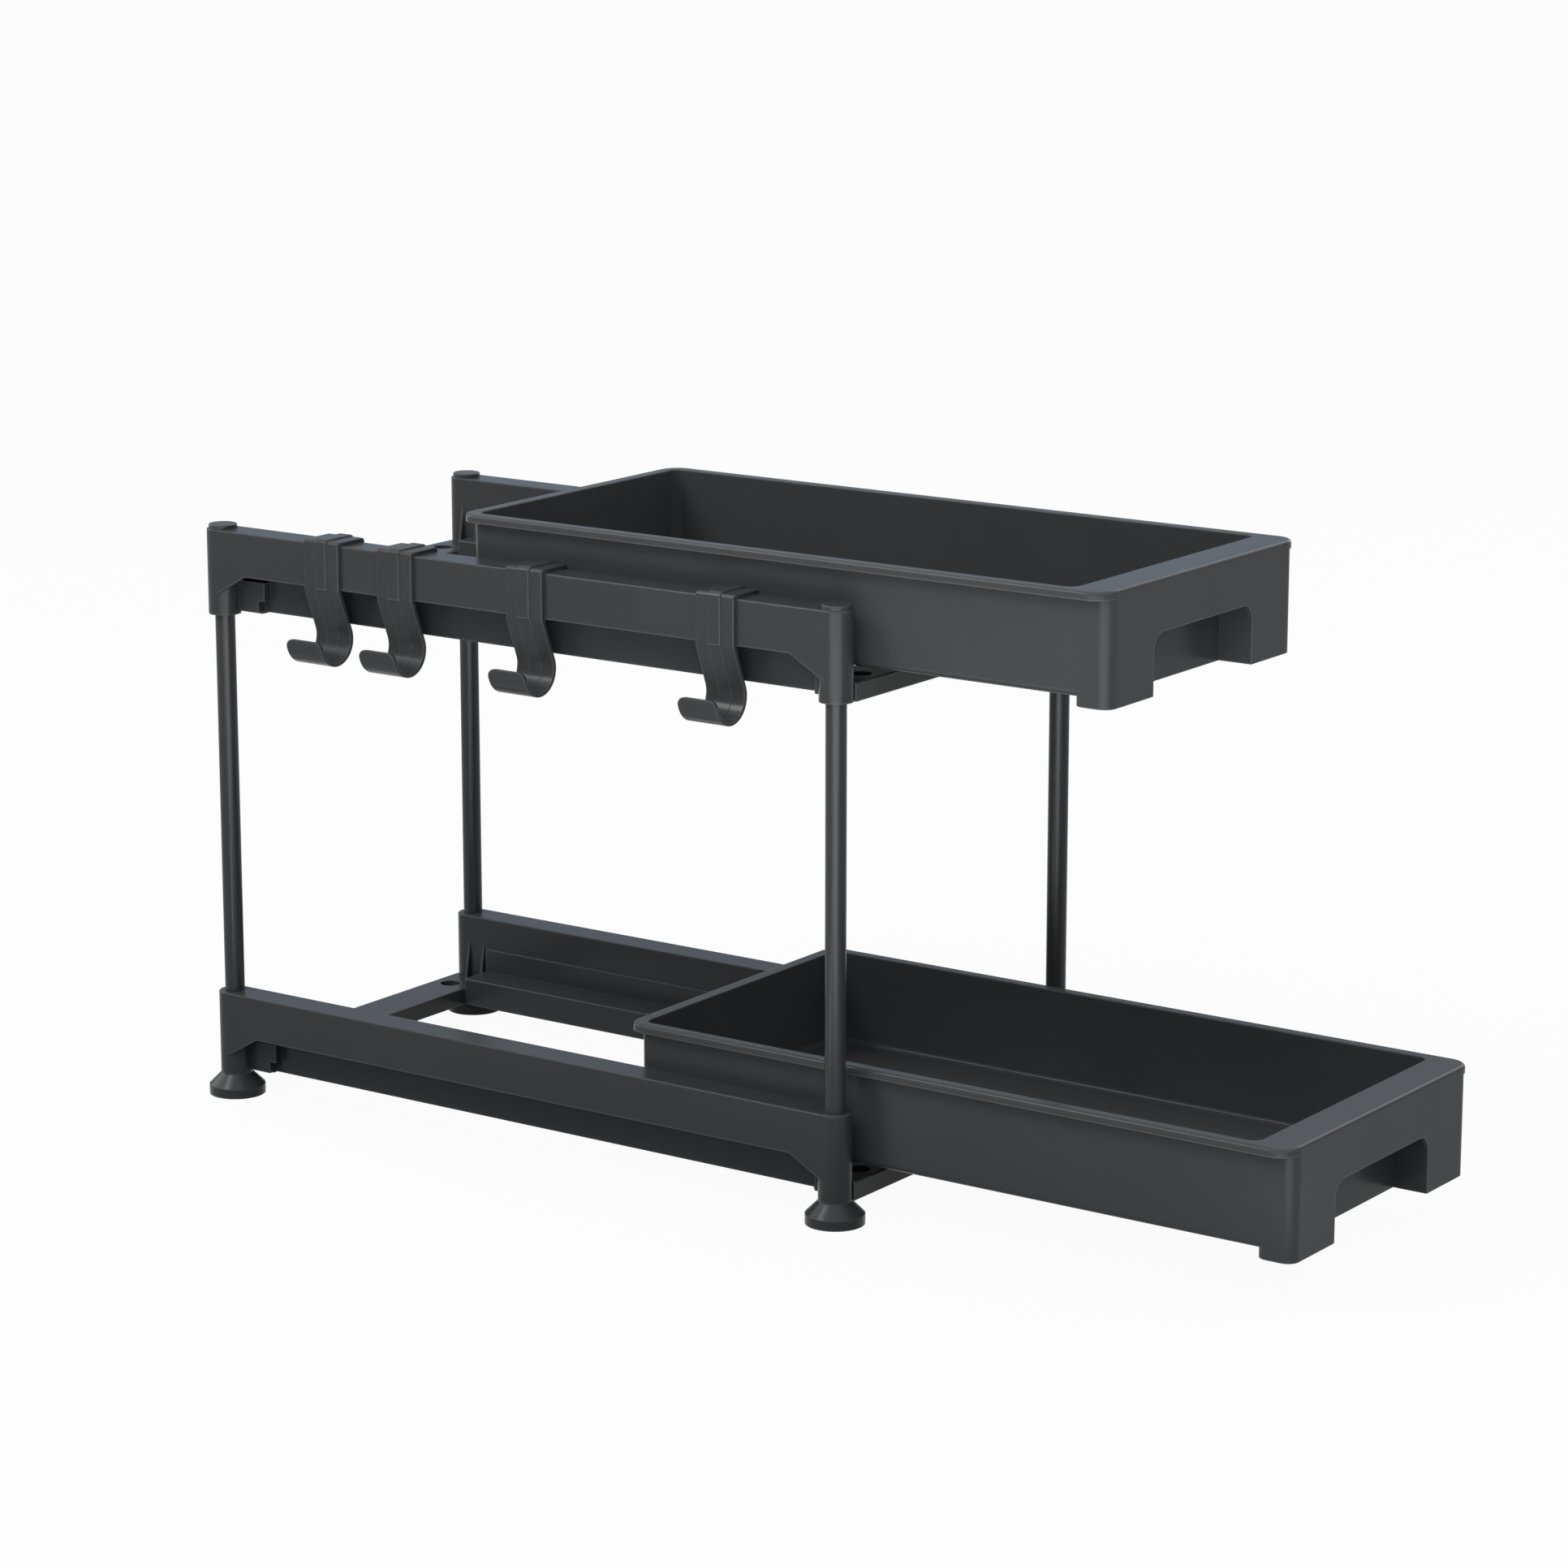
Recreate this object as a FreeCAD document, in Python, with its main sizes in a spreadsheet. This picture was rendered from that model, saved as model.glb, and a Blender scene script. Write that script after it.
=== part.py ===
import FreeCAD, Part
import math
import os
from types import SimpleNamespace

import Sketcher

# Sizes in millimetres, angles in degrees
SIZES = (
    ("frame_center_x", 5.05, "frame centre from the origin, to the right"),
    ("frame_center_y", 111.0, "frame centre from the origin, to the rear"),
    ("post_spacing_x", 193.5, "post axes, left to right"),
    ("post_spacing_y", 372.0, "post axes, front to rear"),
    ("post_diameter", 10.0, "outside of the post tube"),
    ("post_wall", 0.8, "wall of the post tube"),
    ("tier_pitch", 239.0, "lower rail to upper rail"),
    ("socket_web", 6.0, "web between the two bores of a socket"),
    ("socket_clearance", 0.1, "radial gap round what stands in a socket"),
    ("end_clearance", 0.2, "gap past the end of a stem, a tongue or a ledge"),
    ("rail_width", 16.3, "outer face to inner face of a rail"),
    ("rail_height", 43.3, "bottom to top of a rail"),
    ("rail_wall", 2.0, "wall of the mouldings of the frame"),
    ("rail_round", 0.7, "rounding of the top edge of a rail"),
    ("skirt_lift", 21.3, "outer skirt's lower edge above the rail's bottom"),
    ("skirt_end_lift", 9.5, "height where the skirt's slope reaches the post axis"),
    ("skirt_slope_run", 20.6, "length of the skirt's slope, up to the post axis"),
    ("skirt_slope_round", 2.0, "rounding where the slope leaves the skirt's edge"),
    ("inner_wall_lift", 1.9, "inner wall's lower edge above the rail's bottom"),
    ("boss_reach", 4.75, "boss beside a socket, out from the inner wall"),
    ("rear_boss_length", 21.0, "rear socket's boss, from the post axis"),
    ("front_boss_length", 12.7, "front socket's boss, from the post axis"),
    ("boss_step", 4.0, "upper part of the rear boss, beyond the lower part"),
    ("boss_step_lift", 7.8, "height where the upper part of the rear boss begins"),
    ("boss_height", 17.3, "top of both bosses"),
    ("ledge_width", 19.25, "tray ledge, in from the rail's inner face"),
    ("ledge_height", 14.2, "top of the tray ledge above the rail's bottom"),
    ("ledge_round", 0.8, "rounding of the ledge's inner edge"),
    ("strip_height", 12.4, "guide strip above the ledge"),
    ("strip_proud", 1.0, "guide strip, out from the rail's inner face"),
    ("gusset_near", 13.7, "inner gusset from the post axis"),
    ("gusset_far", 3.8, "outer gusset from the post axis"),
    ("gusset_thickness", 1.5, "gusset along the rail"),
    ("gusset_depth", 3.75, "gusset's foot on the crossbar"),
    ("gusset_height", 20.9, "gusset above the crossbar"),
    ("keeper_length", 112.0, "keeper lip, from the stop to the rail's middle"),
    ("keeper_gap", 1.55, "gap between the keeper lip and the tray body"),
    ("keeper_thickness", 2.4, "keeper lip"),
    ("stop_length", 6.0, "stop block along the rail"),
    ("stop_gap", 0.85, "gap between the stop block and the tray body"),
    ("crossbar_width", 23.65, "crossbar, outer face to inner face"),
    ("crossbar_height", 8.8, "crossbar, bottom to top"),
    ("crossbar_fit", 0.1, "gap between a crossbar's end and the rail"),
    ("crossbar_horn_angle", 60.0, "how far a crossbar's end follows the socket"),
    ("crossbar_round", 0.6, "rounding of the crossbar's top edges"),
    ("hole_diameter", 11.0, "round hole near each end of a crossbar"),
    ("hole_inset", 15.05, "hole's axis from the crossbar's end"),
    ("hole_offset", 2.5, "hole's axis, inward from the post axes"),
    ("collar_wall", 1.5, "collar round a crossbar hole"),
    ("tongue_inset", 1.0, "crossbar tongue from the crossbar's inner face"),
    ("tongue_width", 5.0, "crossbar tongue along the rail"),
    ("tongue_length", 1.5, "crossbar tongue, out of the crossbar's end"),
    ("tongue_lift", 3.0, "underside of the tongue above the rail's bottom"),
    ("tongue_height", 4.0, "crossbar tongue, bottom to top"),
    ("foot_diameter", 28.6, "foot on the floor"),
    ("foot_rim", 4.9, "upright edge of the foot"),
    ("foot_height", 11.0, "floor to the lower rail's bottom"),
    ("foot_round", 0.3, "rounding of the foot's edges"),
    ("cap_inset", 1.0, "cap's edge inside the rail's edge"),
    ("cap_height", 2.1, "cap above the rail's top"),
    ("cap_chamfer", 0.4, "chamfer of the cap's top edge"),
    ("tray_rear_over", 0.85, "rear of the pushed-in tray body past the ledge's end"),
    ("tray_side_gap", 5.85, "gap between the tray body and the rail's inner face"),
    ("tray_height", 49.0, "tray's bottom to the rim's top"),
    ("tray_wall", 2.0, "walls and floor of a tray"),
    ("tray_corner", 6.0, "upright corners of the tray body"),
    ("tray_bottom_round", 3.2, "rounding round the tray's bottom"),
    ("tray_inner_corner", 5.0, "upright corners inside the tray"),
    ("tray_inner_round", 3.0, "rounding round the tray's floor"),
    ("tray_lift", 0.1, "running gap between the tray and its ledge"),
    ("rim_reach", 4.75, "rim, out from the tray body"),
    ("rim_height", 4.0, "rim, bottom to top"),
    ("rim_corner", 10.5, "rim's corners seen from above"),
    ("rim_round", 1.7, "rounding of the rim's outer top edge"),
    ("rim_inner_round", 0.7, "rounding of the rim's inner top edge"),
    ("cavity_inset", 0.5, "tray's inside behind the front box"),
    ("skirt_depth", 19.5, "tray's front box, front to rear"),
    ("skirt_drop", 4.6, "tray's front box below the tray's bottom"),
    ("grip_width", 88.5, "finger cut-out, side to side"),
    ("grip_height", 28.7, "finger cut-out, above the front box's bottom"),
    ("grip_corner", 8.0, "upper corners of the finger cut-out"),
    ("lug_rear_inset", 1.75, "lug from the rear of the tray body"),
    ("lug_length", 12.0, "lug along the tray"),
    ("lug_height", 10.9, "lug above the tray's bottom"),
    ("lug_gap", 0.85, "gap between a lug and the guide strip"),
    ("slide_clearance", 0.3, "gap round what slides"),
    ("rib_thickness", 1.5, "guide rib below the tray"),
    ("rib_depth", 3.0, "guide rib below the tray's bottom"),
    ("rib_end_inset", 6.5, "guide rib's end from the rear of the tray body"),
    ("rib_front_inset", 5.5, "guide rib's front from the front box"),
    ("upper_tray_back", 136.5, "upper tray's lugs behind the stop blocks"),
    ("lower_tray_back", 37.2, "lower tray's lugs behind the stop blocks"),
    ("hook_width", 22.0, "hook's strap along the rail"),
    ("hook_thickness", 2.0, "hook's strap"),
    ("hook_corner", 2.0, "outer corners over the rail's top"),
    ("hook_leg_gap", 4.9, "end of the hook's inner leg above the keeper lip"),
    ("hook_bend_rise", 0.26, "hook's bend above the skirt's lower edge"),
    ("hook_lean", 21.0, "slant of the hook's shank"),
    ("hook_shank", 21.98, "slanted part of the hook"),
    ("hook_curl", 12.4, "outer radius of the hook's curl"),
    ("hook_tip_angle", 5.5, "hook's tip above the level of the curl's centre"),
    ("hook_tip_round", 4.0, "rounded corners of the hook's tip"),
    ("band_width", 7.6, "raised band along the hook"),
    ("band_proud", 0.8, "raised band above the strap, over the rail"),
    ("band_low_proud", 0.25, "raised band above the strap, below the bend"),
    ("hook_edge_round", 0.7, "rounded long edges of the strap and of its band"),
    ("hook_1_place", 113.5, "hook from the rail's middle, to the rear"),
    ("hook_2_place", 67.3, "hook from the rail's middle, to the rear"),
    ("hook_3_place", -12.6, "hook from the rail's middle, to the rear"),
    ("hook_4_place", -124.6, "hook from the rail's middle, to the rear"),
)
NEAR = 0.01
PARTS = "parts"


class Size:
    """A size that holds both its number and the sheet formula that gives it."""

    def __init__(self, number, formula):
        self.number = number
        self.formula = formula

    def __add__(self, other):
        other = as_size(other)
        return Size(self.number + other.number, f"({self.formula} + {other.formula})")

    def __sub__(self, other):
        other = as_size(other)
        return Size(self.number - other.number, f"({self.formula} - {other.formula})")

    def __rsub__(self, other):
        return as_size(other) - self

    def __mul__(self, other):
        other = as_size(other)
        return Size(self.number * other.number, f"({self.formula} * {other.formula})")

    def __truediv__(self, other):
        other = as_size(other)
        return Size(self.number / other.number, f"({self.formula} / {other.formula})")

    def __neg__(self):
        return self * -1

    __radd__ = __add__
    __rmul__ = __mul__


def as_size(value):
    return value if isinstance(value, Size) else Size(float(value), f"{value}")


def sine(angle):
    return Size(math.sin(math.radians(angle.number)), f"sin({angle.formula} * 1 deg)")


def cosine(angle):
    return Size(math.cos(math.radians(angle.number)), f"cos({angle.formula} * 1 deg)")


doc = FreeCAD.newDocument("under_sink_organizer")
sheet = doc.addObject("Spreadsheet::Sheet", "Sizes")
for row, (alias, number, note) in enumerate(SIZES, 1):
    sheet.set(f"A{row}", alias)
    sheet.set(f"B{row}", str(number))
    sheet.set(f"C{row}", note)
    sheet.setAlias(f"B{row}", alias)
doc.recompute()
size = SimpleNamespace(**{alias: Size(number, f"Sizes.{alias}") for alias, number, note in SIZES})
ZERO = Size(0.0, "0")


# Sketches and features

def bind(item, name, value):
    item.setExpression(name, as_size(value).formula)


def sketch_on(body, name, role, rise=ZERO):
    sketch = body.newObject("Sketcher::SketchObject", name)
    plane = next(item for item in body.Origin.OriginFeatures if item.Role == role)
    sketch.AttachmentSupport = [(plane, "")]
    sketch.MapMode = "FlatFace"
    bind(sketch, "AttachmentOffset.Base.z", rise)
    return sketch


def dimension(sketch, kind, *where, value):
    index = sketch.addConstraint(Sketcher.Constraint(kind, *where, value.number))
    bind(sketch, f"Constraints[{index}]", value)


def pin(sketch, edge, end, x, y):
    for kind, value, axis in (("DistanceX", x, -2), ("DistanceY", y, -1)):
        value = as_size(value)
        if value.number == 0:
            sketch.addConstraint(Sketcher.Constraint("PointOnObject", edge, end, axis))
        else:
            dimension(sketch, kind, -1, 1, edge, end, value=value)


def arc_between(start, end, radius):
    """The short arc from start to end, turning left for a positive radius and right for a negative one."""
    chord = end - start
    left = FreeCAD.Vector(-chord.y, chord.x).normalize()
    height = math.sqrt(max(radius**2 - (chord.Length / 2) ** 2, 0.0))
    center = (start + end) / 2 + left * math.copysign(height, radius)
    first, last = (start, end) if radius > 0 else (end, start)
    begin = math.atan2(first.y - center.y, first.x - center.x)
    finish = math.atan2(last.y - center.y, last.x - center.x)
    if finish < begin:
        finish += 2 * math.pi
    circle = Part.Circle(center, FreeCAD.Vector(0, 0, 1), abs(radius))
    return Part.ArcOfCircle(circle, begin, finish)


def outline(sketch, corners):
    """A closed line through the corners; a corner's third item is the radius of the arc that leaves it."""
    first = sketch.GeometryCount
    count = len(corners)
    spots = [FreeCAD.Vector(as_size(corner[0]).number, as_size(corner[1]).number) for corner in corners]
    ends = []
    for index, corner in enumerate(corners):
        here, there = spots[index], spots[(index + 1) % count]
        if len(corner) == 2:
            sketch.addGeometry(Part.LineSegment(here, there))
            ends.append((1, 2))
        else:
            radius = corner[2]
            sketch.addGeometry(arc_between(here, there, radius.number))
            ends.append((1, 2) if radius.number > 0 else (2, 1))
    for index in range(count):
        after = (index + 1) % count
        link = (first + index, ends[index][1], first + after, ends[after][0])
        sketch.addConstraint(Sketcher.Constraint("Coincident", *link))
    for index, corner in enumerate(corners):
        pin(sketch, first + index, ends[index][0], corner[0], corner[1])
        if len(corner) == 3:
            radius = corner[2] if corner[2].number > 0 else -corner[2]
            dimension(sketch, "Radius", first + index, value=radius)


def rectangle(sketch, x_from, x_to, y_from, y_to):
    outline(sketch, [(x_from, y_from), (x_to, y_from), (x_to, y_to), (x_from, y_to)])


def rounded_rectangle(sketch, x_half, y_from, y_to, radius):
    outline(sketch, [
        (radius - x_half, y_from), (x_half - radius, y_from, radius),
        (x_half, y_from + radius), (x_half, y_to - radius, radius),
        (x_half - radius, y_to), (radius - x_half, y_to, radius),
        (-x_half, y_to - radius), (-x_half, y_from + radius, radius),
    ])


def circle(sketch, x, y, radius):
    center = FreeCAD.Vector(as_size(x).number, as_size(y).number)
    edge = sketch.addGeometry(Part.Circle(center, FreeCAD.Vector(0, 0, 1), radius.number))
    pin(sketch, edge, 3, x, y)
    dimension(sketch, "Radius", edge, value=radius)


def pad(body, name, sketch, length):
    item = body.newObject("PartDesign::Pad", name)
    item.Profile = sketch
    bind(item, "Length", length)
    doc.recompute()


def pocket(body, name, sketch, length, forward=False):
    """A cut against the sketch's normal, or along it when forward."""
    before = body.Shape.Volume
    item = body.newObject("PartDesign::Pocket", name)
    item.Profile = sketch
    item.Reversed = forward
    bind(item, "Length", length)
    doc.recompute()
    if body.Shape.Volume > before - NEAR:
        raise ValueError(f"{body.Label}: {name} cuts nothing")


def revolve(body, name, sketch):
    item = body.newObject("PartDesign::Revolution", name)
    item.Profile = sketch
    item.ReferenceAxis = (sketch, ["V_Axis"])
    item.Angle = 360
    doc.recompute()


def round_edges(body, name, radius, wanted):
    base = body.Tip
    edges = [f"Edge{index}" for index, edge in enumerate(base.Shape.Edges, 1) if wanted(edge)]
    if not edges:
        raise ValueError(f"{body.Label}: {name} finds no edge")
    item = body.newObject("PartDesign::Fillet", name)
    item.Base = (base, edges)
    bind(item, "Radius", radius)
    doc.recompute()


def spots_on(edge):
    low, high = edge.ParameterRange
    return [edge.valueAt(low), edge.valueAt((low + high) / 2), edge.valueAt(high)]


def lies_at(edge, **wanted):
    """True where every spot of the edge has the wanted coordinates."""
    return all(abs(getattr(spot, axis) - as_size(value).number) < NEAR
               for spot in spots_on(edge) for axis, value in wanted.items())


def new_body(label, x, y, z):
    body = doc.addObject("PartDesign::Body", label)
    body.Label = label
    bind(body, ".Placement.Base.x", size.frame_center_x + x)
    bind(body, ".Placement.Base.y", size.frame_center_y + y)
    bind(body, ".Placement.Base.z", z)
    return body


# Places shared by several pieces

post_x = size.post_spacing_x / 2
post_y = size.post_spacing_y / 2
rail_half = size.rail_width / 2
rail_inside = rail_half - size.rail_wall
bore_radius = size.post_diameter / 2 + size.socket_clearance
socket_depth = (size.rail_height - size.socket_web) / 2
stem_length = socket_depth - size.end_clearance
lower_level = size.foot_height
upper_level = size.foot_height + size.tier_pitch
ledge_half = post_y + rail_half - size.crossbar_width - size.end_clearance
keeper_level = size.ledge_height + size.tray_lift + size.lug_height + size.slide_clearance
keeper_top = keeper_level + size.keeper_thickness
bar_inner = size.crossbar_width - rail_half
tongue_far = bar_inner - size.tongue_inset
tongue_near = tongue_far - size.tongue_width


def across(side, start, end):
    """Sketch height and pad length for what spans start to end, measured inward from a rail's axis."""
    return (start if side > 0 else -end), end - start


# Side rails

def build_rail(label, side, level):
    body = new_body(label, -side * post_x, ZERO, level)

    def inward(start, end):
        return side * start, side * end

    beam = sketch_on(body, label + "_beam_sketch", "XY_Plane")
    rectangle(beam, -rail_half, rail_half, -post_y, post_y)
    pad(body, label + "_beam", beam, size.rail_height)

    channel = sketch_on(body, label + "_channel_sketch", "XY_Plane")
    rectangle(channel, -rail_inside, rail_inside, -post_y, post_y)
    pocket(body, label + "_channel", channel, size.rail_height - size.rail_wall, forward=True)

    start, length = across(side, -rail_half, -rail_inside)
    slope_start = post_y - size.skirt_slope_run
    skirt = sketch_on(body, label + "_skirt_sketch", "YZ_Plane", start)
    outline(skirt, [
        (-post_y, ZERO), (post_y, ZERO), (post_y, size.skirt_end_lift), (slope_start, size.skirt_lift),
        (-slope_start, size.skirt_lift), (-post_y, size.skirt_end_lift),
    ])
    pocket(body, label + "_skirt", skirt, length, forward=True)
    round_edges(body, label + "_skirt_round", size.skirt_slope_round, lambda edge: (
        lies_at(edge, z=size.skirt_lift)
        and (lies_at(edge, y=slope_start) or lies_at(edge, y=-slope_start))))

    lift = sketch_on(body, label + "_inner_wall_sketch", "XY_Plane")
    rectangle(lift, *inward(rail_inside, rail_half), -post_y, post_y)
    pocket(body, label + "_inner_wall", lift, size.inner_wall_lift, forward=True)

    sockets = sketch_on(body, label + "_sockets_sketch", "XY_Plane")
    circle(sockets, ZERO, post_y, rail_half)
    circle(sockets, ZERO, -post_y, rail_half)
    pad(body, label + "_sockets", sockets, size.rail_height)

    start, length = across(side, rail_inside - size.boss_reach, rail_inside)
    bosses = sketch_on(body, label + "_bosses_sketch", "YZ_Plane", start)
    rear_end = post_y - size.rear_boss_length
    step_end = rear_end - size.boss_step
    outline(bosses, [
        (post_y, size.inner_wall_lift), (rear_end, size.inner_wall_lift), (rear_end, size.boss_step_lift),
        (step_end, size.boss_step_lift), (step_end, size.boss_height), (post_y, size.boss_height),
    ])
    rectangle(bosses, -post_y, size.front_boss_length - post_y, size.inner_wall_lift, size.boss_height)
    pad(body, label + "_bosses", bosses, length)

    ledge_end = rail_half + size.ledge_width
    ledge = sketch_on(body, label + "_ledge_sketch", "XZ_Plane", -ledge_half)
    rectangle(ledge, *inward(rail_half, ledge_end), ZERO, size.ledge_height)
    pad(body, label + "_ledge", ledge, 2 * ledge_half)

    hollow = sketch_on(body, label + "_hollow_sketch", "XY_Plane")
    hollow_half = ledge_half - size.rail_wall
    rectangle(hollow, *inward(rail_half, ledge_end - size.rail_wall), -hollow_half, hollow_half)
    pocket(body, label + "_hollow", hollow, size.ledge_height - size.rail_wall, forward=True)

    strip = sketch_on(body, label + "_strip_sketch", "XZ_Plane", -ledge_half)
    strip_top = size.ledge_height + size.strip_height
    rectangle(strip, *inward(rail_half, rail_half + size.strip_proud), size.ledge_height, strip_top)
    pad(body, label + "_strip", strip, 2 * ledge_half)

    gusset_spots = [end * (post_y - gap) for end in (1, -1) for gap in (size.gusset_near, size.gusset_far)]
    for number, spot in enumerate(gusset_spots, 1):
        rise = -spot - size.gusset_thickness / 2
        gusset = sketch_on(body, f"{label}_gusset_{number}_sketch", "XZ_Plane", rise)
        outline(gusset, [
            (side * rail_half, size.crossbar_height),
            (side * (rail_half + size.gusset_depth), size.crossbar_height),
            (side * rail_half, size.crossbar_height + size.gusset_height),
        ])
        pad(body, f"{label}_gusset_{number}", gusset, size.gusset_thickness)

    tray_side = rail_half + size.tray_side_gap
    keeper = sketch_on(body, label + "_keeper_sketch", "XZ_Plane")
    rectangle(keeper, *inward(rail_half, tray_side - size.keeper_gap), keeper_level, keeper_top)
    pad(body, label + "_keeper", keeper, size.keeper_length)

    stop = sketch_on(body, label + "_stop_sketch", "XZ_Plane", size.keeper_length)
    rectangle(stop, *inward(rail_half, tray_side - size.stop_gap), size.ledge_height, keeper_top)
    pad(body, label + "_stop", stop, size.stop_length)

    tongue_top = size.tongue_lift + size.tongue_height + size.end_clearance
    slot_near = tongue_near - size.end_clearance
    slot_far = tongue_far + size.end_clearance
    start, length = across(side, rail_half - size.tongue_length, rail_half)
    slots = sketch_on(body, label + "_slots_sketch", "YZ_Plane", start)
    for end in (1, -1):
        rectangle(slots, end * (post_y - slot_far), end * (post_y - slot_near), size.tongue_lift, tongue_top)
    pocket(body, label + "_slots", slots, length, forward=True)

    for name, rise, forward in (("lower", ZERO, True), ("upper", size.rail_height, False)):
        bores = sketch_on(body, f"{label}_{name}_bores_sketch", "XY_Plane", rise)
        circle(bores, ZERO, post_y, bore_radius)
        circle(bores, ZERO, -post_y, bore_radius)
        pocket(body, f"{label}_{name}_bores", bores, socket_depth, forward)

    def on_bore(edge):
        spot = spots_on(edge)[1]
        return math.hypot(spot.x, abs(spot.y) - post_y.number) < bore_radius.number + NEAR

    round_edges(body, label + "_top_round", size.rail_round, lambda edge: (
        lies_at(edge, z=size.rail_height) and not on_bore(edge)))
    round_edges(body, label + "_ledge_round", size.ledge_round, lambda edge: (
        lies_at(edge, x=side * ledge_end, z=size.ledge_height)))


# Crossbars

def build_crossbar(label, facing, level):
    body = new_body(label, ZERO, -facing * post_y, level)
    fit_radius = rail_half + size.crossbar_fit
    end_x = post_x - fit_radius
    horn_x = post_x - fit_radius * cosine(size.crossbar_horn_angle)
    horn_y = -fit_radius * sine(size.crossbar_horn_angle)
    turn = -facing * fit_radius

    bar = sketch_on(body, label + "_bar_sketch", "XY_Plane")
    outline(bar, [
        (-horn_x, -facing * rail_half), (horn_x, -facing * rail_half), (horn_x, facing * horn_y, turn),
        (end_x, ZERO), (end_x, facing * bar_inner), (-end_x, facing * bar_inner), (-end_x, ZERO, turn),
        (-horn_x, facing * horn_y),
    ])
    pad(body, label + "_bar", bar, size.crossbar_height)

    hollow = sketch_on(body, label + "_hollow_sketch", "XY_Plane")
    hollow_x = end_x - size.rail_wall
    rectangle(hollow, -hollow_x, hollow_x,
              facing * (size.rail_wall - rail_half), facing * (bar_inner - size.rail_wall))
    pocket(body, label + "_hollow", hollow, size.crossbar_height - size.rail_wall, forward=True)

    hole_x = end_x - size.hole_inset
    hole_radius = size.hole_diameter / 2
    collars = sketch_on(body, label + "_collars_sketch", "XY_Plane")
    holes = sketch_on(body, label + "_holes_sketch", "XY_Plane")
    for side in (1, -1):
        circle(collars, side * hole_x, facing * size.hole_offset, hole_radius + size.collar_wall)
        circle(holes, side * hole_x, facing * size.hole_offset, hole_radius)
    pad(body, label + "_collars", collars, size.crossbar_height)
    pocket(body, label + "_holes", holes, size.crossbar_height, forward=True)

    tongue_end = end_x + size.crossbar_fit + size.tongue_length - size.end_clearance
    tongues = sketch_on(body, label + "_tongues_sketch", "XY_Plane", size.tongue_lift)
    for side in (1, -1):
        rectangle(tongues, side * end_x, side * tongue_end,
                  facing * tongue_near, facing * tongue_far)
    pad(body, label + "_tongues", tongues, size.tongue_height)

    round_edges(body, label + "_top_round", size.crossbar_round, lambda edge: (
        lies_at(edge, z=size.crossbar_height)
        and (lies_at(edge, y=facing * bar_inner) or lies_at(edge, y=-facing * rail_half))))


# Posts, feet and caps

def build_post(label, x, y):
    body = new_body(label, x, y, lower_level + size.rail_height - socket_depth)
    tube = sketch_on(body, label + "_tube_sketch", "XY_Plane")
    circle(tube, ZERO, ZERO, size.post_diameter / 2)
    circle(tube, ZERO, ZERO, size.post_diameter / 2 - size.post_wall)
    pad(body, label + "_tube", tube, size.tier_pitch - size.rail_height + 2 * socket_depth)


def build_foot(label, x, y):
    body = new_body(label, x, y, ZERO)
    stem = size.post_diameter / 2
    turned = sketch_on(body, label + "_turned_sketch", "XZ_Plane")
    outline(turned, [
        (ZERO, ZERO), (size.foot_diameter / 2, ZERO), (size.foot_diameter / 2, size.foot_rim),
        (rail_half, size.foot_height), (stem, size.foot_height), (stem, size.foot_height + stem_length),
        (ZERO, size.foot_height + stem_length),
    ])
    revolve(body, label + "_turned", turned)
    round_edges(body, label + "_edge_round", size.foot_round, lambda edge: (
        lies_at(edge, z=size.foot_rim)))


def build_cap(label, x, y):
    body = new_body(label, x, y, upper_level + size.rail_height)
    stem = size.post_diameter / 2
    edge_radius = rail_half - size.cap_inset
    turned = sketch_on(body, label + "_turned_sketch", "XZ_Plane")
    outline(turned, [
        (ZERO, -stem_length), (stem, -stem_length), (stem, ZERO), (edge_radius, ZERO),
        (edge_radius, size.cap_height - size.cap_chamfer), (edge_radius - size.cap_chamfer, size.cap_height),
        (ZERO, size.cap_height),
    ])
    revolve(body, label + "_turned", turned)


# Hooks over the upper left rail

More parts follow.
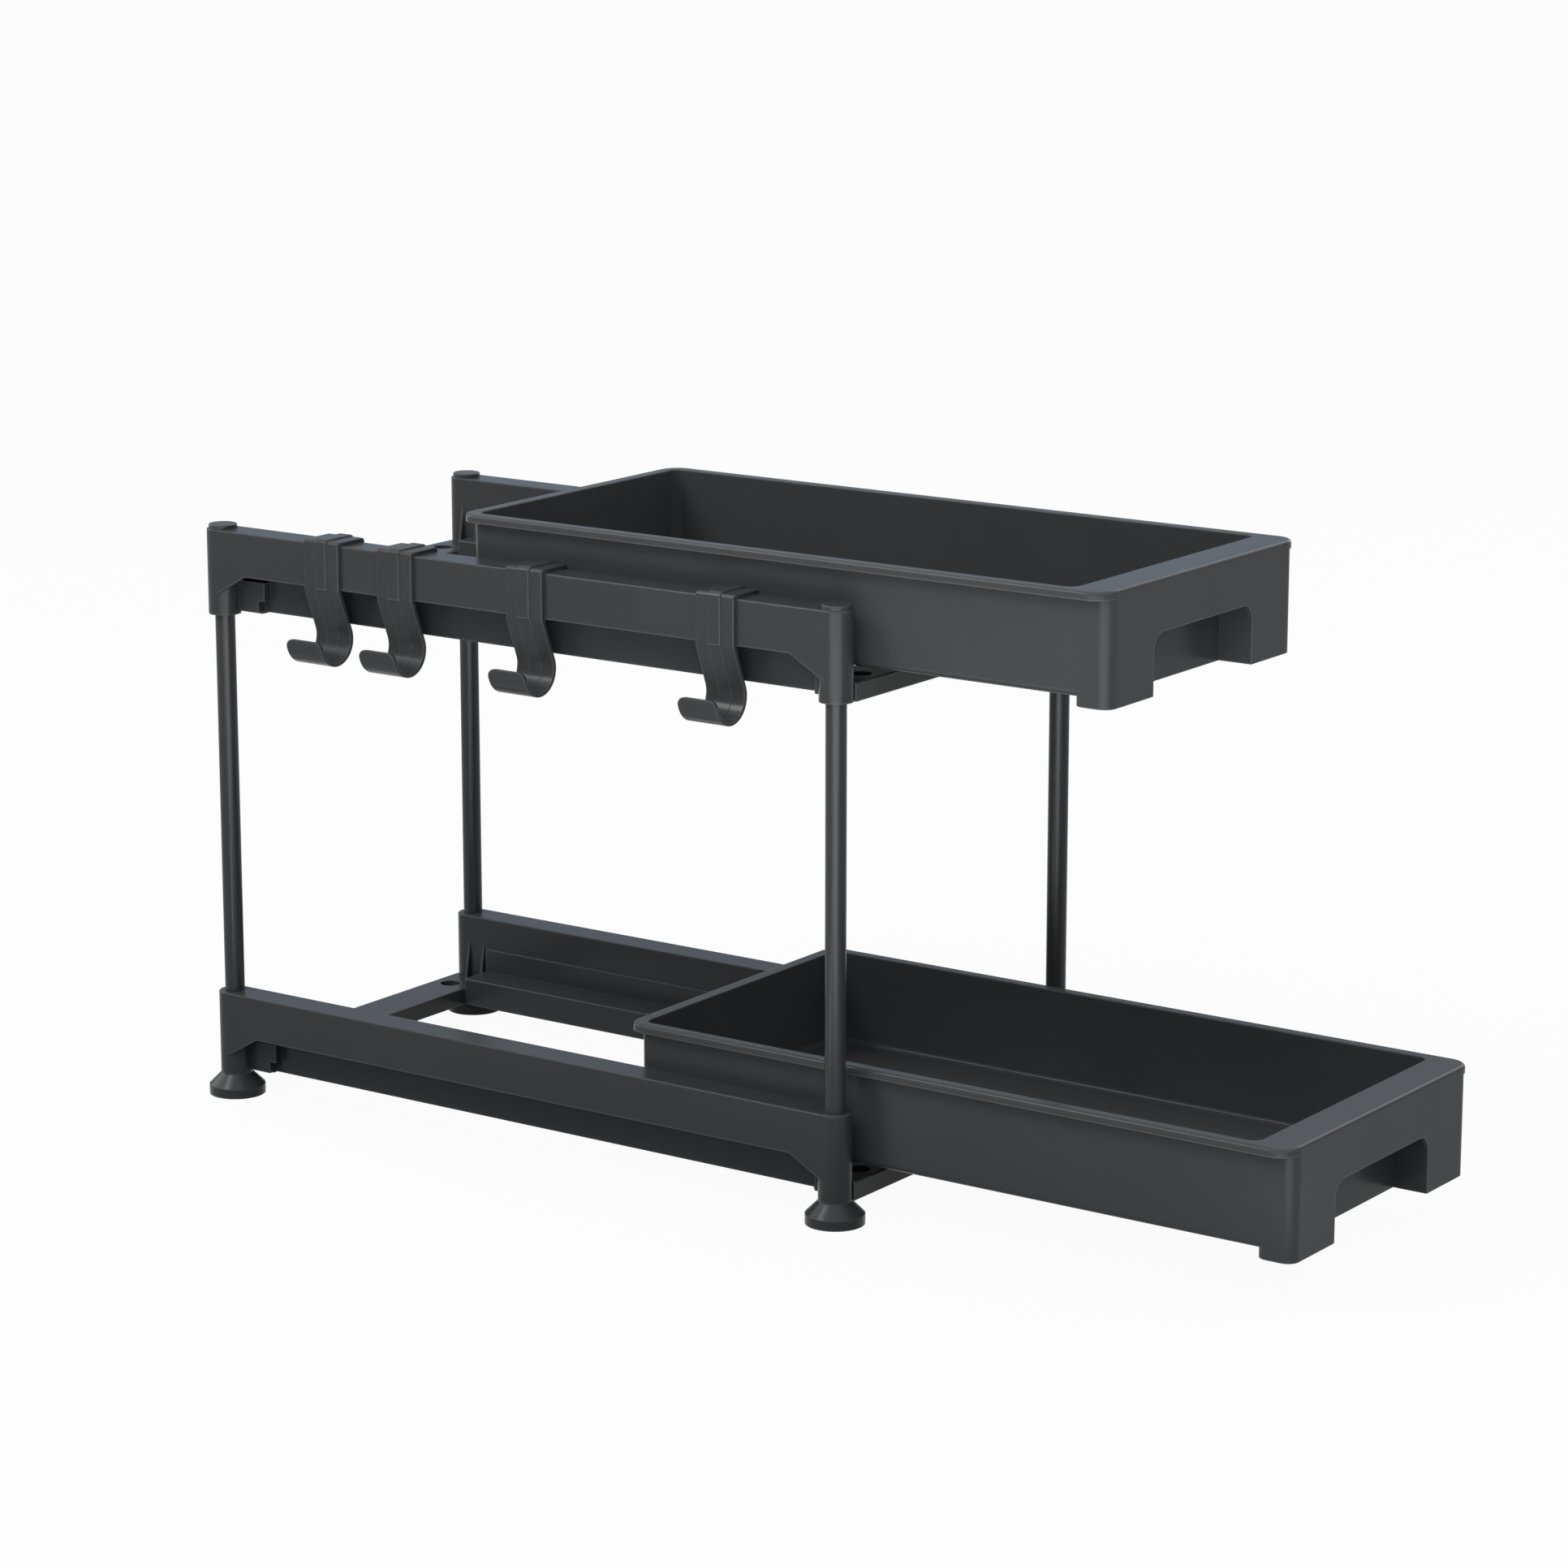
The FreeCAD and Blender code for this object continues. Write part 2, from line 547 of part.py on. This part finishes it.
def build_hook(label, place):
    body = new_body(label, -post_x, place, upper_level)
    lean_sine, lean_cosine = sine(size.hook_lean), cosine(size.hook_lean)
    tip_sine, tip_cosine = sine(size.hook_tip_angle), cosine(size.hook_tip_angle)
    half_turn = (180 + size.hook_tip_angle - size.hook_lean) / 2
    inner = rail_half + size.slide_clearance
    outer = inner + size.hook_thickness
    top = size.rail_height + size.hook_thickness
    bend = size.skirt_lift + size.hook_bend_rise
    curl_x = -inner + size.hook_shank * lean_sine - size.hook_curl * lean_cosine
    curl_z = bend - size.hook_shank * lean_cosine - size.hook_curl * lean_sine
    drop = (1 - lean_cosine) / lean_sine

    def on_curl(radius):
        """Start, middle and tip of the curl at a radius about its centre."""
        return (
            (curl_x + radius * lean_cosine, curl_z + radius * lean_sine),
            (curl_x + radius * cosine(half_turn), curl_z - radius * sine(half_turn)),
            (curl_x - radius * tip_cosine, curl_z + radius * tip_sine),
        )

    def bend_at(depth):
        return bend - depth * drop

    radius_out = size.hook_curl
    radius_in = size.hook_curl - size.hook_thickness
    radius_band = radius_in - size.band_low_proud
    outside = on_curl(radius_out)
    inside = on_curl(radius_in)
    raised = on_curl(radius_band)

    strap = sketch_on(body, label + "_strap_sketch", "XZ_Plane", -size.hook_width / 2)
    outline(strap, [
        (inner, keeper_top + size.hook_leg_gap),
        (outer, keeper_top + size.hook_leg_gap),
        (outer, top - size.hook_corner, size.hook_corner),
        (outer - size.hook_corner, top),
        (size.hook_corner - outer, top, size.hook_corner),
        (-outer, top - size.hook_corner),
        (-outer, bend_at(size.hook_thickness)),
        (*inside[0], -radius_in),
        (*inside[1], -radius_in),
        inside[2],
        (*outside[2], radius_out),
        (*outside[1], radius_out),
        outside[0],
        (-inner, bend),
        (-inner, size.rail_height),
        (inner, size.rail_height),
    ])
    pad(body, label + "_strap", strap, size.hook_width)
    half_width = size.hook_width / 2
    tip_x = curl_x - (radius_in + radius_out) / 2 * tip_cosine

    def at_tip(edge):
        spot = spots_on(edge)[1]
        return abs(spot.x - tip_x.number) < NEAR

    round_edges(body, label + "_tip_round", size.hook_tip_round, lambda edge: (
        at_tip(edge) and (lies_at(edge, y=half_width) or lies_at(edge, y=-half_width))))

    band = sketch_on(body, label + "_band_sketch", "XZ_Plane", -size.band_width / 2)
    band_outer = outer + size.band_proud
    band_top = top + size.band_proud
    band_corner = size.hook_corner + size.band_proud
    flat = outer - size.hook_corner
    shoulder = top - size.hook_corner
    outline(band, [
        (outer, shoulder),
        (band_outer, shoulder, band_corner),
        (flat, band_top),
        (-flat, band_top, band_corner),
        (-band_outer, shoulder),
        (-band_outer, bend_at(size.hook_thickness + size.band_proud)),
        (-outer - size.band_low_proud, bend_at(size.hook_thickness + size.band_low_proud)),
        (*raised[0], -radius_band),
        raised[1],
        (*inside[1], radius_in),
        inside[0],
        (-outer, bend_at(size.hook_thickness)),
        (-outer, shoulder, -size.hook_corner),
        (-flat, top),
        (flat, top, -size.hook_corner),
    ])
    pad(body, label + "_band", band, size.band_width)

    round_edges(body, label + "_edge_round", size.hook_edge_round, lambda edge: any(
        lies_at(edge, x=-depth, y=turn * half)
        for depth, half in ((band_outer, size.band_width / 2), (outer, half_width))
        for turn in (1, -1)))


# Pull-out trays

def build_tray(label, back, level):
    half = post_x - rail_half - size.tray_side_gap
    rear = 2 * ledge_half + size.skirt_depth + size.slide_clearance + size.tray_rear_over
    lug_rear = rear - size.lug_rear_inset
    lug_front = lug_rear - size.lug_length
    front_place = back - size.keeper_length - lug_front
    body = new_body(label, ZERO, front_place, level + size.ledge_height + size.tray_lift)
    block = sketch_on(body, label + "_body_sketch", "XY_Plane")
    rounded_rectangle(block, half, ZERO, rear, size.tray_corner)
    pad(body, label + "_body", block, size.tray_height)
    round_edges(body, label + "_bottom_round", size.tray_bottom_round, lambda edge: lies_at(edge, z=ZERO))

    skirt = sketch_on(body, label + "_skirt_sketch", "XY_Plane", -size.skirt_drop)
    rounded_rectangle(skirt, half, ZERO, size.skirt_depth, size.tray_corner)
    pad(body, label + "_skirt", skirt, size.skirt_drop + size.tray_bottom_round)

    rim_level = size.tray_height - size.rim_height
    rim = sketch_on(body, label + "_rim_sketch", "XY_Plane", rim_level)
    rounded_rectangle(rim, half + size.rim_reach, ZERO, rear + size.rim_reach, size.rim_corner)
    pad(body, label + "_rim", rim, size.rim_height)
    round_edges(body, label + "_rim_round", size.rim_round, lambda edge: lies_at(edge, z=size.tray_height))

    inside_half = half - size.tray_wall
    inside_front = size.skirt_depth + size.cavity_inset
    inside_rear = rear - size.tray_wall
    cavity = sketch_on(body, label + "_cavity_sketch", "XY_Plane", size.tray_height)
    rounded_rectangle(cavity, inside_half, inside_front, inside_rear, size.tray_inner_corner)
    pocket(body, label + "_cavity", cavity, size.tray_height - size.tray_wall)

    def on_cavity(edge):
        return all(abs(spot.x) < inside_half.number + NEAR
                   and inside_front.number - NEAR < spot.y < inside_rear.number + NEAR
                   for spot in spots_on(edge))

    round_edges(body, label + "_floor_round", size.tray_inner_round, lambda edge: (
        lies_at(edge, z=size.tray_wall) and on_cavity(edge)))
    round_edges(body, label + "_rim_inner_round", size.rim_inner_round, lambda edge: (
        lies_at(edge, z=size.tray_height) and on_cavity(edge)))

    grip_half = size.grip_width / 2
    front_hollow = sketch_on(body, label + "_front_hollow_sketch", "XY_Plane", -size.skirt_drop)
    hollow_rear = size.skirt_depth - size.tray_wall
    rectangle(front_hollow, -grip_half, grip_half, size.tray_wall, hollow_rear)
    corner = size.tray_corner - size.tray_wall
    rib_outside = grip_half + size.tray_wall
    for side in (1, -1):
        outline(front_hollow, [
            (side * rib_outside, size.tray_wall),
            (side * (inside_half - corner), size.tray_wall, side * corner),
            (side * inside_half, size.tray_wall + corner),
            (side * inside_half, hollow_rear - corner, side * corner),
            (side * (inside_half - corner), hollow_rear), (side * rib_outside, hollow_rear),
        ])
    hollow_height = size.skirt_drop + size.tray_height - size.tray_wall
    pocket(body, label + "_front_hollow", front_hollow, hollow_height, forward=True)

    grip = sketch_on(body, label + "_grip_sketch", "XZ_Plane")
    grip_top = size.grip_height - size.skirt_drop
    outline(grip, [
        (-grip_half, -size.skirt_drop), (grip_half, -size.skirt_drop),
        (grip_half, grip_top - size.grip_corner, size.grip_corner), (grip_half - size.grip_corner, grip_top),
        (size.grip_corner - grip_half, grip_top, size.grip_corner), (-grip_half, grip_top - size.grip_corner),
    ])
    pocket(body, label + "_grip", grip, size.tray_wall)

    lug_outer = post_x - rail_half - size.strip_proud - size.lug_gap
    lugs = sketch_on(body, label + "_lugs_sketch", "XY_Plane")
    for side in (1, -1):
        rectangle(lugs, side * inside_half, side * lug_outer, lug_front, lug_rear)
    pad(body, label + "_lugs", lugs, size.lug_height)

    rib_outer = post_x - rail_half - size.ledge_width - size.slide_clearance
    ribs = sketch_on(body, label + "_ribs_sketch", "XY_Plane", -size.rib_depth)
    for side in (1, -1):
        rectangle(ribs, side * (rib_outer - size.rib_thickness), side * rib_outer,
                  size.skirt_depth + size.rib_front_inset, rear - size.rib_end_inset)
    pad(body, label + "_ribs", ribs, size.rib_depth)


for tier, level in (("lower", lower_level), ("upper", upper_level)):
    build_rail(tier + "_left_rail", 1, level)
    build_rail(tier + "_right_rail", -1, level)
    build_crossbar(tier + "_front_crossbar", 1, level)
    build_crossbar(tier + "_rear_crossbar", -1, level)
for end, y in (("front", -post_y), ("rear", post_y)):
    for hand, x in (("left", -post_x), ("right", post_x)):
        build_post(f"{end}_{hand}_post", x, y)
        build_foot(f"{end}_{hand}_foot", x, y)
        build_cap(f"{end}_{hand}_cap", x, y)
build_tray("upper_tray", size.upper_tray_back, upper_level)
build_tray("lower_tray", size.lower_tray_back, lower_level)
hook_places = (size.hook_1_place, size.hook_2_place, size.hook_3_place, size.hook_4_place)
for number, place in enumerate(hook_places, 1):
    build_hook(f"hook_{number}", place)
doc.recompute()

# Checks and export
for item in doc.Objects:
    if "Invalid" in item.State or "Error" in item.State:
        raise ValueError(f"{item.Label} did not compute: {item.State}")
os.makedirs(PARTS, exist_ok=True)
for body in doc.findObjects("PartDesign::Body"):
    if body.Shape.isNull() or not body.Shape.isValid() or len(body.Shape.Solids) != 1:
        raise ValueError(f"{body.Label} has no single valid solid")
    body.Shape.exportStep(f"{PARTS}/{body.Label}.step")
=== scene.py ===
import math

import bpy
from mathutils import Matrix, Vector

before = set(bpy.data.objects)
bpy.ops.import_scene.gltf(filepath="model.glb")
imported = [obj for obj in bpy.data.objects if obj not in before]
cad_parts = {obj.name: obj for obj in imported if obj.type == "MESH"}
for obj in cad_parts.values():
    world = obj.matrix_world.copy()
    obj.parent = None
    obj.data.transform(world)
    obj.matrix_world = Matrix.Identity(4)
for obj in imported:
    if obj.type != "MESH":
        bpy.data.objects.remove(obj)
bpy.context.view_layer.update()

BLACK = (0.0, 0.0, 0.0)
WHITE = (1.0, 1.0, 1.0)

# Camera, fitted to the photo
CAMERA_PLACE = (-1.85895, -1.2910, 0.7052)
CAMERA_YAW = math.radians(54.83)
CAMERA_PITCH = math.radians(12.97)
PHOTO_PIXELS = 1932
FOCAL_PIXELS = 5901.85
SENSOR_MM = 36.0

# Tones of the pieces
TRAY_BLACK = (0.0248, 0.0252, 0.0260)
FRAME_BLACK = (0.0185, 0.0189, 0.0196)
POST_BLACK = (0.0165, 0.0169, 0.0176)

# Material, tone, refractive index, grain size, grain depth, edge radius, how names of nodes start or end
MOULDINGS = (
    ("tray_plastic", TRAY_BLACK, 1.17, 0.00045, 0.00012, 0.0004, ("_tray",)),
    ("rail_plastic", FRAME_BLACK, 1.20, 0.00050, 0.00012, 0.0005, ("_rail", "_crossbar")),
    ("hook_plastic", FRAME_BLACK, 1.20, 0.00040, 0.00010, 0.0004, ("hook_",)),
    ("foot_plastic", FRAME_BLACK, 1.20, 0.00050, 0.00014, 0.0005, ("_foot", "_cap")),
)

# Finish of the mouldings
MOULD_ROUGHNESS = 0.25
GRAIN_ROUGHNESS = 0.10
GRAIN_BUMP = 0.2
SMUDGES_PER_METRE = 14.0
SMUDGE_STOPS = ((0.42, BLACK), (0.70, WHITE))
SMUDGE_LIGHTER = 1.25
SMUDGE_SHARE = 0.35
SMUDGE_POLISH = 0.05
EDGE_SAMPLES = 6
EDGE_REACH_IN_RADII = 2.0
EDGE_CONTRAST = 2.0
# Painted highlight on the convex edges: how much lighter the edge colour is and how much of it is mixed
# in
PAINTED_EDGE_HIGHLIGHT_LIGHTER = 2.6
PAINTED_EDGE_HIGHLIGHT_SHARE = 0.8
EDGE_POLISH = 0.06

# Finish of the painted posts
PAINT_INDEX = 1.24
PAINT_ROUGHNESS = 0.24
PEELS_PER_METRE = 420.0
PEEL_DEPTH = 0.0002
PEEL_BUMP = 0.25
PEEL_ROUGHNESS = 0.06
STREAKS_PER_METRE = 260.0
STREAK_SQUEEZE = (1.0, 1.0, 0.06)
STREAK_LIGHTER = 1.3
STREAK_SHARE = 0.4
STREAK_ROUGHNESS = 0.10
NOISE_MIDDLE = 0.5

# Floor and room, whose stops are the upward part of a direction and the colour of the light from there
FLOOR_SIZE = 200.0
FLOOR_LEVEL = -0.0002
FLOOR_TONE = (0.30, 0.30, 0.30)
FLOOR_GLOW = 0.95
ROOM_STOPS = (
    (0.00, (0.30, 0.39, 0.49)),
    (0.30, (0.39, 0.48, 0.58)),
    (0.60, (1.00, 1.01, 1.02)),
    (1.00, (2.40, 2.40, 2.40)),
)

# Name, place, what it looks at, width, height, watts, spread in degrees
OPEN_SPREAD = 180.0
SOFT_BOXES = (
    ("key_light", (-1.75, -0.25, 1.35), (0.0, 0.0, 0.20), 2.0, 1.6, 17.0, OPEN_SPREAD),
    ("edge_light", (-0.90, 0.70, 1.25), (0.0, 0.0, 0.25), 0.6, 0.6, 18.0, OPEN_SPREAD),
    ("front_light", (-0.20, -1.70, 1.35), (0.0, 0.0, 0.15), 1.4, 1.2, 11.0, OPEN_SPREAD),
    ("right_light", (1.90, -0.20, 1.00), (0.0, 0.0, 0.20), 1.4, 1.2, 11.0, OPEN_SPREAD),
    ("rear_light", (-0.30, 2.00, 1.10), (0.0, 0.1, 0.20), 1.4, 1.2, 16.0, OPEN_SPREAD),
    ("corner_light", (-0.1727, -0.3799, 0.027), (-0.0791, -0.3139, 0.045), 0.16, 0.05, 0.025, 80.0),
)

# Name, near and far end towards the camera, left and right edge, watts per square metre and steradian
FLOOR_LIGHT_LEVEL = 0.004
FLOOR_LIGHTS = (
    ("post_light", 0.48, 0.98, -0.20, 0.16, 8.0),
    ("rear_post_light", 0.20, 0.98, -0.345, -0.255, 8.0),
    ("socket_light", 0.98, 1.55, -1.00, 0.70, 12.5),
)

# Sockets of a Mix node that mixes colours, which share their names with those for numbers
MIX_FACTOR = 0
MIX_FIRST = 6
MIX_SECOND = 7
MIX_RESULT = 2


class Shade:
    """A node's output that takes part in Python expressions, and the tree that it is in."""

    def __init__(self, tree, socket=None):
        self.tree = tree
        self.socket = socket

    def node(self, kind, settings=None, inputs=None, output=0):
        """Adds a node: its settings first, then the values or links of its sockets."""
        made = self.tree.nodes.new(kind)
        for name, value in (settings or {}).items():
            if name == "stops":
                self.set_stops(made.color_ramp, value)
            else:
                setattr(made, name, value)
        for name, value in (inputs or {}).items():
            if isinstance(value, Shade):
                self.tree.links.new(value.socket, made.inputs[name])
            else:
                made.inputs[name].default_value = value
        return Shade(self.tree, made.outputs[output] if made.outputs else None)

    @staticmethod
    def set_stops(ramp, stops):
        while len(ramp.elements) < len(stops):
            ramp.elements.new(1.0)
        for element, (place, tone) in zip(ramp.elements, stops):
            element.position = place
            element.color = opaque(tone)

    def maths(self, operation, first, second):
        return self.node("ShaderNodeMath", {"operation": operation}, {0: first, 1: second})

    def __add__(self, other):
        return self.maths("ADD", self, other)

    def __radd__(self, other):
        return self.maths("ADD", other, self)

    def __sub__(self, other):
        return self.maths("SUBTRACT", self, other)

    def __rsub__(self, other):
        return self.maths("SUBTRACT", other, self)

    def __mul__(self, other):
        return self.maths("MULTIPLY", self, other)

    def __rmul__(self, other):
        return self.maths("MULTIPLY", other, self)


# Finishes

def opaque(tone, lighter=1.0):
    return (*(part * lighter for part in tone), 1.0)


def new_material(name):
    material = bpy.data.materials.new(name)
    material.use_nodes = True
    material.node_tree.nodes.clear()
    return material, Shade(material.node_tree)


def blend_colours(tree, share, first, second):
    sockets = {MIX_FACTOR: share, MIX_FIRST: first, MIX_SECOND: second}
    return tree.node("ShaderNodeMix", {"data_type": "RGBA"}, sockets, output=MIX_RESULT)


def moulded_black(name, tone, index, grain_size, grain_depth, edge_radius):
    """Black moulded plastic with a fine grain, softly rounded edges with a painted highlight, and faint
    handling marks.
    """
    material, tree = new_material(name)
    place = tree.node("ShaderNodeTexCoord", output="Object")
    grain = tree.node("ShaderNodeTexNoise", {}, {
        "Vector": place, "Scale": 1.0 / grain_size, "Detail": 3.0, "Roughness": 0.6})
    cloud = tree.node("ShaderNodeTexNoise", {}, {
        "Vector": place, "Scale": SMUDGES_PER_METRE, "Detail": 4.0, "Roughness": 0.55})
    smudge = tree.node("ShaderNodeValToRGB", {"stops": SMUDGE_STOPS}, {"Fac": cloud})
    soft_normal = tree.node("ShaderNodeBevel", {"samples": EDGE_SAMPLES}, {"Radius": edge_radius})
    # Mask of the convex edges, which carries both the painted edge highlight and the smoother edges
    thickness = tree.node(
        "ShaderNodeAmbientOcclusion", {"inside": True, "only_local": True, "samples": EDGE_SAMPLES},
        {"Distance": edge_radius * EDGE_REACH_IN_RADII}, output="AO")
    edge_polish_and_painted_highlight = tree.node("ShaderNodeClamp", {}, {"Value": (1.0 - thickness) * EDGE_CONTRAST})
    colour = blend_colours(tree, smudge * SMUDGE_SHARE, opaque(tone), opaque(tone, SMUDGE_LIGHTER))
    # Painted highlight: convex edges get a lighter colour, standing in for light caught by the edges
    colour = blend_colours(tree, edge_polish_and_painted_highlight * PAINTED_EDGE_HIGHLIGHT_SHARE, colour, opaque(tone, PAINTED_EDGE_HIGHLIGHT_LIGHTER))
    grain_swing = (grain - NOISE_MIDDLE) * GRAIN_ROUGHNESS
    rough = MOULD_ROUGHNESS - smudge * SMUDGE_POLISH + grain_swing - edge_polish_and_painted_highlight * EDGE_POLISH
    normal = tree.node("ShaderNodeBump", {}, {
        "Strength": GRAIN_BUMP, "Distance": grain_depth, "Height": grain, "Normal": soft_normal})
    shader = tree.node("ShaderNodeBsdfPrincipled", {}, {
        "Base Color": colour, "Roughness": rough, "Normal": normal, "IOR": index})
    tree.node("ShaderNodeOutputMaterial", {}, {"Surface": shader})
    return material


def painted_tube(name, tone):
    """Black powder-coated steel tube, with a faint orange peel and faint streaks along it."""
    material, tree = new_material(name)
    place = tree.node("ShaderNodeTexCoord", output="Object")
    peel = tree.node("ShaderNodeTexNoise", {}, {
        "Vector": place, "Scale": PEELS_PER_METRE, "Detail": 2.0})
    streak_place = tree.node("ShaderNodeMapping", {}, {"Vector": place, "Scale": STREAK_SQUEEZE})
    streak = tree.node("ShaderNodeTexNoise", {}, {
        "Vector": streak_place, "Scale": STREAKS_PER_METRE, "Detail": 3.0})
    colour = blend_colours(tree, streak * STREAK_SHARE, opaque(tone), opaque(tone, STREAK_LIGHTER))
    streak_swing = (streak - NOISE_MIDDLE) * STREAK_ROUGHNESS
    peel_swing = (peel - NOISE_MIDDLE) * PEEL_ROUGHNESS
    rough = PAINT_ROUGHNESS + streak_swing + peel_swing
    normal = tree.node("ShaderNodeBump", {}, {
        "Strength": PEEL_BUMP, "Distance": PEEL_DEPTH, "Height": peel})
    shader = tree.node("ShaderNodeBsdfPrincipled", {}, {
        "Base Color": colour, "Roughness": rough, "Normal": normal, "IOR": PAINT_INDEX})
    tree.node("ShaderNodeOutputMaterial", {}, {"Surface": shader})
    return material


def dress(material, name_ends):
    """Gives a material to the nodes whose names start or end with one of these words."""
    for name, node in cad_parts.items():
        if name.startswith(name_ends) or name.endswith(name_ends):
            node.data.materials.clear()
            node.data.materials.append(material)


# Floor, light and camera

def seen_rays(tree):
    """One for the camera's rays and for those in a gloss or through a clear piece, else zero."""
    camera_ray = tree.node("ShaderNodeLightPath", output="Is Camera Ray")
    glossy_ray = tree.node("ShaderNodeLightPath", output="Is Glossy Ray")
    clear_ray = tree.node("ShaderNodeLightPath", output="Is Transmission Ray")
    return tree.node("ShaderNodeClamp", {}, {"Value": camera_ray + glossy_ray + clear_ray})


def pale_floor():
    """A pale floor that takes the object's shadow and is clear when seen from below."""
    bpy.ops.mesh.primitive_plane_add(size=FLOOR_SIZE, location=(0.0, 0.0, FLOOR_LEVEL))
    floor = bpy.context.object
    floor.name = "studio_floor"
    material, tree = new_material("floor_white")
    matt = tree.node("ShaderNodeBsdfDiffuse", {}, {"Color": opaque(FLOOR_TONE)})
    glow = tree.node("ShaderNodeEmission", {}, {"Color": opaque(WHITE), "Strength": 1.0})
    glow_share = seen_rays(tree) * FLOOR_GLOW
    upper_side = tree.node("ShaderNodeMixShader", {}, {0: glow_share, 1: matt, 2: glow})
    from_below = tree.node("ShaderNodeNewGeometry", output="Backfacing")
    clear = tree.node("ShaderNodeBsdfTransparent")
    surface = tree.node("ShaderNodeMixShader", {}, {0: from_below, 1: upper_side, 2: clear})
    tree.node("ShaderNodeOutputMaterial", {}, {"Surface": surface})
    floor.data.materials.append(material)


def studio_world():
    """A room that is cool and dim near the floor and bright overhead."""
    world = bpy.data.worlds.new("studio")
    bpy.context.scene.world = world
    world.use_nodes = True
    world.node_tree.nodes.clear()
    tree = Shade(world.node_tree)
    direction = tree.node("ShaderNodeTexCoord", output="Generated")
    upward = tree.node("ShaderNodeSeparateXYZ", {}, {"Vector": direction}, output="Z")
    room = tree.node("ShaderNodeValToRGB", {"stops": ROOM_STOPS}, {"Fac": upward})
    light = tree.node("ShaderNodeBackground", {}, {"Color": room, "Strength": 1.0})
    tree.node("ShaderNodeOutputWorld", {}, {"Surface": light})


def area_light(name, place, turn, width, height, power, spread):
    lamp = bpy.data.lights.new(name, "AREA")
    lamp.shape = "RECTANGLE"
    lamp.size = width
    lamp.size_y = height
    lamp.energy = power
    lamp.spread = math.radians(spread)
    holder = bpy.data.objects.new(name, lamp)
    holder.location = place
    holder.rotation_euler = turn
    holder.visible_camera = False
    bpy.context.scene.collection.objects.link(holder)


def soft_box(name, place, target, width, height, power, spread):
    turn = (Vector(target) - Vector(place)).to_track_quat("-Z", "Y").to_euler()
    area_light(name, place, turn, width, height, power, spread)


def floor_light(name, near, far, left, right, radiance):
    """A light that lies on the floor, facing up, between the object and the camera."""
    towards = Vector((-math.sin(CAMERA_YAW), -math.cos(CAMERA_YAW), 0.0))
    sideways = Vector((math.cos(CAMERA_YAW), -math.sin(CAMERA_YAW), 0.0))
    place = towards * ((near + far) / 2) + sideways * ((left + right) / 2)
    place.z = FLOOR_LIGHT_LEVEL
    width = right - left
    length = far - near
    power = math.pi * radiance * width * length
    area_light(name, place, (math.pi, 0.0, -CAMERA_YAW), width, length, power, OPEN_SPREAD)


def photo_camera():
    lens = bpy.data.cameras.new("photo_camera")
    lens.sensor_fit = "HORIZONTAL"
    lens.sensor_width = SENSOR_MM
    lens.lens = FOCAL_PIXELS / PHOTO_PIXELS * SENSOR_MM
    holder = bpy.data.objects.new("photo_camera", lens)
    holder.location = CAMERA_PLACE
    holder.rotation_euler = (math.pi / 2 - CAMERA_PITCH, 0.0, -CAMERA_YAW)
    bpy.context.scene.collection.objects.link(holder)
    bpy.context.scene.camera = holder


for *finish, name_ends in MOULDINGS:
    dress(moulded_black(*finish), name_ends)
dress(painted_tube("post_paint", POST_BLACK), ("_post",))
pale_floor()
studio_world()
for light in SOFT_BOXES:
    soft_box(*light)
for light in FLOOR_LIGHTS:
    floor_light(*light)
photo_camera()
bpy.context.scene.view_settings.view_transform = "Standard"
